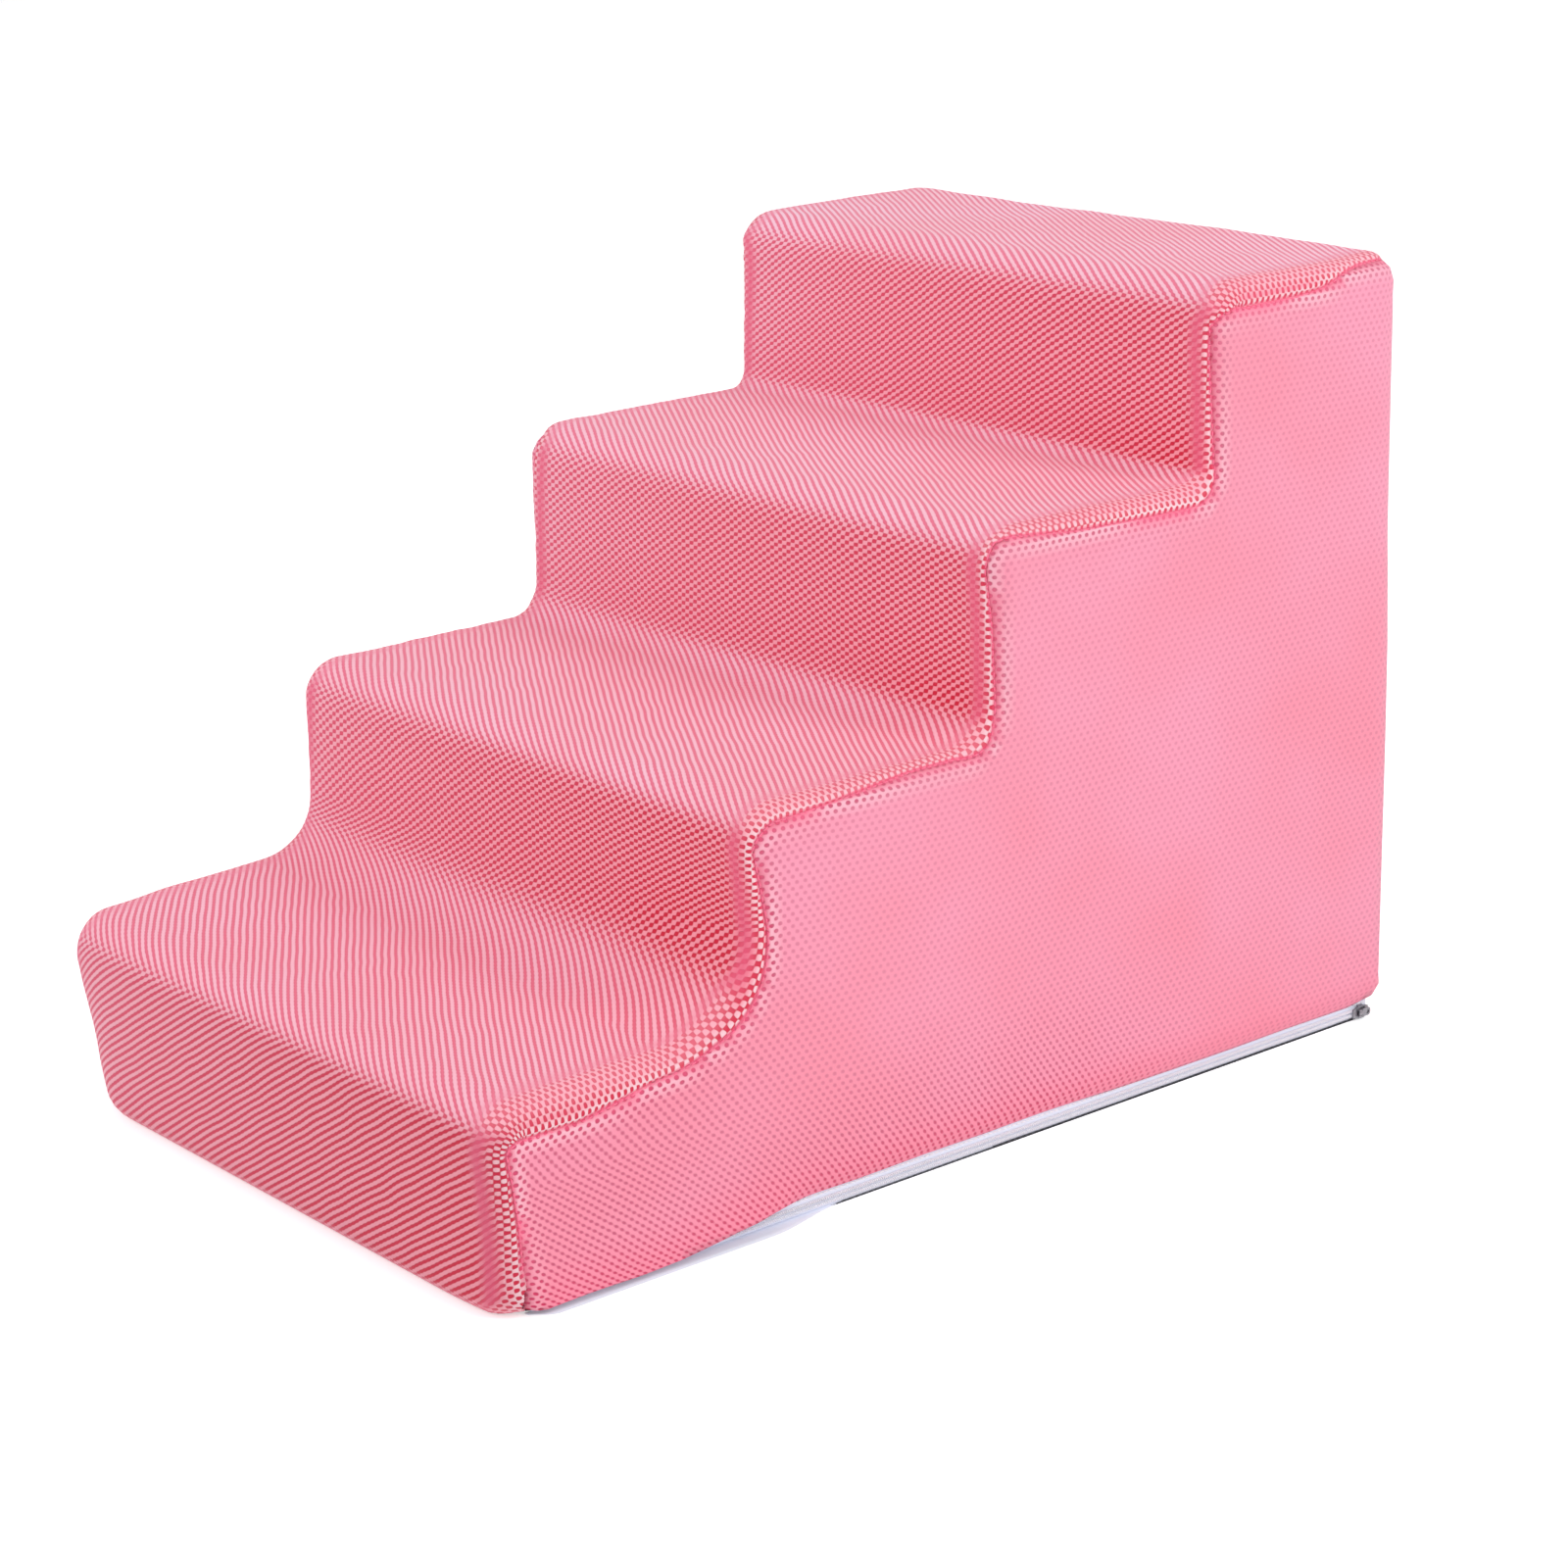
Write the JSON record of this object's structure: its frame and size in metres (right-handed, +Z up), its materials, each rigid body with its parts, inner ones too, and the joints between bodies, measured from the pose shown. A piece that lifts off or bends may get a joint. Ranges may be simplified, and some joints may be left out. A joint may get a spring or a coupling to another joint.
{
  "type": "pet stairs",
  "caption": "Soft pet stairs: stepped foam block in a zip-off mesh cover, with rounded step noses, a non-slip base and a zip slider with pull along one bottom edge.",
  "frame": {"origin": "middle of the footprint, on the floor", "axes": "+Z up; +Y from the foot of the stairs towards the tall rear; +X across the stairs, towards the side that has the zip"},
  "size_m": [0.35, 0.56, 0.399],
  "materials": {
    "foam": "open-cell polyurethane foam, cut faces",
    "strip_mesh": "pink polyester spacer mesh with small open cells",
    "side_mesh": "pink polyester spacer mesh, flatter face",
    "base_fabric": "dark grey non-slip fabric",
    "seam_thread": "pink polyester sewing thread",
    "base_thread": "grey polyester sewing thread",
    "zip_tape": "white woven polyester zip tape",
    "zip_coil": "white nylon coil",
    "zip_thread": "white polyester sewing thread",
    "zip_metal": "grey plated zinc alloy"
  },
  "bodies": {
    "stairs": {"foam_slab_1": "foam", "foam_slab_2": "foam", "foam_slab_3": "foam", "foam_slab_4": "foam", "cover_step_strip": "strip_mesh", "cover_side_left": "side_mesh", "cover_side_right": "side_mesh", "cover_base": "base_fabric", "seam_thread_left": "seam_thread", "seam_thread_right": "seam_thread", "seam_thread_base": "base_thread", "zip_tape_upper": "zip_tape", "zip_tape_lower": "zip_tape", "zip_coil_upper": "zip_coil", "zip_coil_lower": "zip_coil", "zip_stitching": "zip_thread", "zip_bottom_stop": "zip_metal", "zip_top_stops": "zip_metal"},
    "slider": {"zip_slider": "zip_metal"},
    "pull": {"zip_pull": "zip_metal"}
  },
  "joints": [
    {"name": "zip_travel", "type": "slide", "parent": "stairs", "child": "slider", "axis": [0, -1, 0], "range_m": [0, 0.515]},
    {"name": "pull_turn", "type": "hinge", "parent": "slider", "child": "pull", "pos_m": [0.17394, 0.2611, 0.00425], "axis": [0, 0, -1], "range_deg": [0, 180]}
  ]
}
